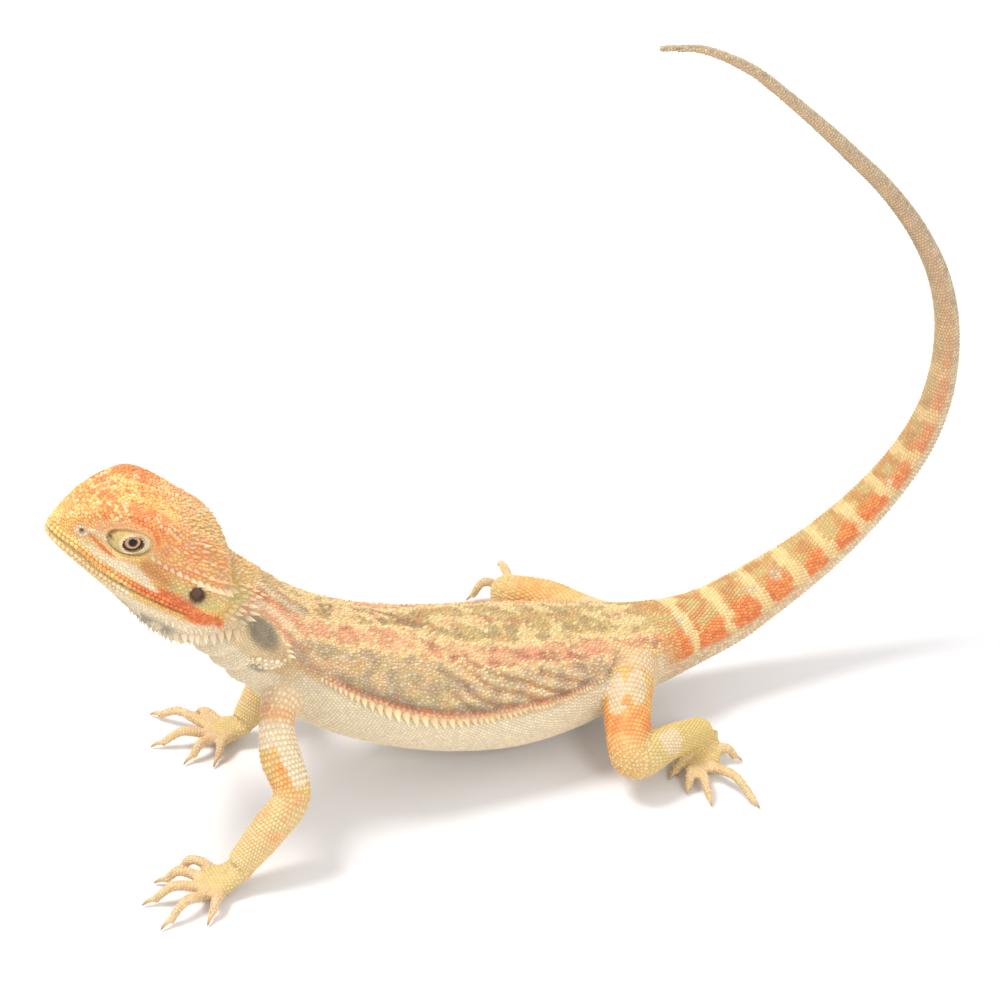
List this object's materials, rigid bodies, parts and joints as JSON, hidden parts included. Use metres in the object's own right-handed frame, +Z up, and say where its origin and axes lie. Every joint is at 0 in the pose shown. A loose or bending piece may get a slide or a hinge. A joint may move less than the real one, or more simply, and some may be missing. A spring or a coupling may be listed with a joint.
{
  "type": "bearded dragon",
  "caption": "Life-size bearded dragon standing still with its head raised and its long tail curled up and forward over its back.",
  "frame": {"origin": "middle of the whole model's box, on the floor that the soles stand on", "axes": "+X from head to tail, +Y to the animal's right, +Z up"},
  "size_m": [0.1984, 0.1092, 0.1521],
  "materials": {
    "head_skin": "dry keeled scales, orange-red over tan yellow",
    "jaw_skin": "dry cream scales with soft pale spikes",
    "body_skin": "dry olive tan scales with orange and cream markings",
    "tail_skin": "dry keeled scales, banded cream, olive and orange",
    "limb_skin": "dry keeled scales, yellow and orange with patches of pale old skin",
    "eye": "wet gloss, brown gold iris round a black pupil",
    "eardrum": "thin dark skin",
    "claw": "satin horn, amber brown with darker tips"
  },
  "bodies": {
    "root": {"head": "head_skin", "lower_jaw": "jaw_skin", "left_eye": "eye", "right_eye": "eye", "left_eardrum": "eardrum", "right_eardrum": "eardrum", "neck": "body_skin", "trunk": "body_skin", "tail_1": "tail_skin", "tail_2": "tail_skin", "tail_3": "tail_skin", "tail_4": "tail_skin", "tail_5": "tail_skin", "left_upper_arm": "limb_skin", "left_forearm": "limb_skin", "left_hand": "limb_skin", "left_thigh": "limb_skin", "left_shin": "limb_skin", "left_foot": "limb_skin", "right_upper_arm": "limb_skin", "right_forearm": "limb_skin", "right_hand": "limb_skin", "right_thigh": "limb_skin", "right_shin": "limb_skin", "right_foot": "limb_skin", "left_hand_claw_1": "claw", "left_hand_claw_2": "claw", "left_hand_claw_3": "claw", "left_hand_claw_4": "claw", "left_hand_claw_5": "claw", "left_foot_claw_1": "claw", "left_foot_claw_2": "claw", "left_foot_claw_3": "claw", "left_foot_claw_4": "claw", "left_foot_claw_5": "claw", "right_hand_claw_1": "claw", "right_hand_claw_2": "claw", "right_hand_claw_3": "claw", "right_hand_claw_4": "claw", "right_hand_claw_5": "claw", "right_foot_claw_1": "claw", "right_foot_claw_2": "claw", "right_foot_claw_3": "claw", "right_foot_claw_4": "claw", "right_foot_claw_5": "claw"}
  },
  "joints": []
}
